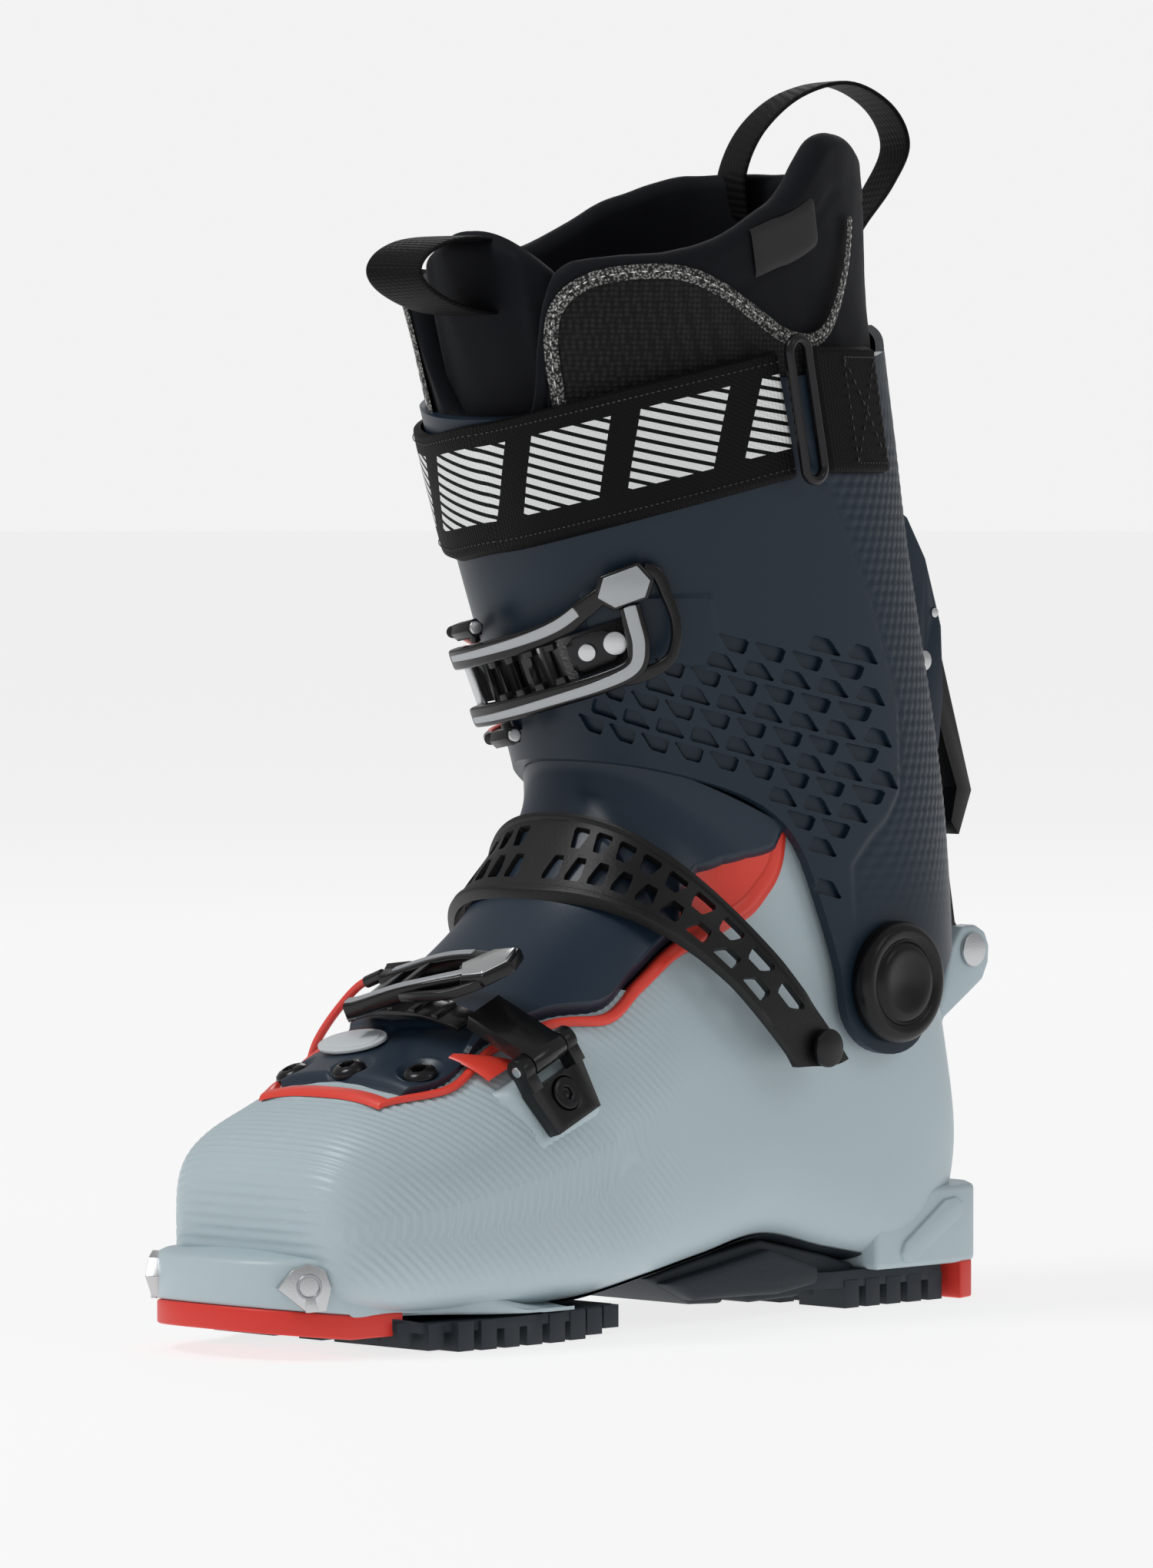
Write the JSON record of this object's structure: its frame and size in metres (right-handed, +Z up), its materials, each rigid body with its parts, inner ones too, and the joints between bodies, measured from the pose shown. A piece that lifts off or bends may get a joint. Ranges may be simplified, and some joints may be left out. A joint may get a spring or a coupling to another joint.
{
  "type": "ski touring boot",
  "caption": "Left ski touring boot with a swinging cuff, two lever buckles, a webbing strap, a walk lever and a padded inner boot.",
  "frame": {"origin": "on the ground under the hinge axis of the cuff, midway across the sole", "axes": "-Y towards the toe, +X towards the outer side of the left foot, +Z up"},
  "size_m": [0.1195, 0.3115, 0.3622],
  "materials": {
    "pale_shell": "satin moulded shell",
    "red_rubber": "soft satin",
    "tread_rubber": "matt",
    "steel": "satin",
    "navy_shell": "fine satin",
    "black_steel": "gloss black",
    "pale_badge": "gloss",
    "strap_plastic": "fine satin",
    "black_alloy": "satin black",
    "bush_plastic": "smooth",
    "liner_fabric": "neoprene and mesh",
    "footbed_foam": "matt",
    "red_cable": "coated cable",
    "webbing": "ribbed webbing",
    "label_fabric": "fine weave",
    "lever_inlay": "satin"
  },
  "bodies": {
    "shell": {"lower_shell": "pale_shell", "toe_bumper": "red_rubber", "forefoot_tread": "tread_rubber", "heel_tread": "tread_rubber", "heel_block": "red_rubber", "toe_fitting": "steel", "heel_fitting": "steel", "throat_gasket": "red_rubber", "instep_overlap": "navy_shell", "overlap_screws": "black_steel", "overlap_badge": "pale_badge", "instep_strap": "strap_plastic", "strap_rivets": "black_alloy", "catch_base": "black_alloy", "catch_screw": "black_steel", "catch_pins": "steel", "hinge_screws": "steel", "bracket_pin": "steel", "inner_boot_foot": "liner_fabric", "footbed": "footbed_foam", "inner_hook": "black_alloy"},
    "cuff": {"cuff": "navy_shell", "hinge_bushes": "bush_plastic", "hinge_caps": "black_alloy", "spine_housing": "navy_shell", "housing_rivet": "steel", "cuff_ladder": "black_alloy", "ladder_screws": "steel", "cuff_hook": "black_alloy", "cuff_cables": "red_cable", "power_strap": "webbing", "strap_ring": "black_alloy", "strap_anchor": "webbing", "inner_boot_leg": "liner_fabric", "liner_label": "label_fabric", "front_loop": "webbing", "rear_loop": "webbing"},
    "cuff_lever": {"cuff_lever": "black_alloy", "cuff_lever_inlay": "lever_inlay", "cuff_lever_pin": "steel", "cuff_adjusters": "black_alloy"},
    "instep_link": {"instep_link": "black_alloy", "instep_ladder": "black_alloy", "instep_cable": "red_cable"},
    "instep_lever": {"instep_lever": "black_alloy", "instep_lever_inlay": "lever_inlay", "instep_lever_pin": "steel", "instep_adjuster": "black_alloy"},
    "walk_lever": {"walk_lever": "black_alloy", "walk_lever_pin": "steel"},
    "walk_rod": {"walk_rod": "black_alloy"}
  },
  "joints": [
    {"name": "cuff_pivot", "type": "hinge", "parent": "shell", "child": "cuff", "pos_m": [0, 0, 0.095], "axis": [1, 0, 0], "range_deg": [-18, 12]},
    {"name": "cuff_buckle", "type": "hinge", "parent": "cuff", "child": "cuff_lever", "pos_m": [-0.02045, -0.09994, 0.18088], "axis": [0.2079, 0.2696, -0.9403], "range_deg": [0, 95]},
    {"name": "instep_link_hinge", "type": "hinge", "parent": "shell", "child": "instep_link", "pos_m": [0.0466, -0.14178, 0.08077], "axis": [0, 0.9135, 0.4067], "range_deg": [0, 22]},
    {"name": "instep_buckle", "type": "hinge", "parent": "instep_link", "child": "instep_lever", "pos_m": [-0.01, -0.15086, 0.09502], "axis": [0.1392, -0.9047, -0.4028], "range_deg": [0, 95]},
    {"name": "walk_lever_hinge", "type": "hinge", "parent": "cuff", "child": "walk_lever", "pos_m": [0, 0.056, 0.2], "axis": [1, 0, 0], "range_deg": [0, 80]},
    {"name": "walk_rod_hinge", "type": "hinge", "parent": "shell", "child": "walk_rod", "pos_m": [0, 0.074, 0.1], "axis": [1, 0, 0], "range_deg": [-18, 12]}
  ],
  "couplings": [
    {"joint": "walk_rod_hinge", "follows": "cuff_pivot", "ratio": 0.94}
  ]
}
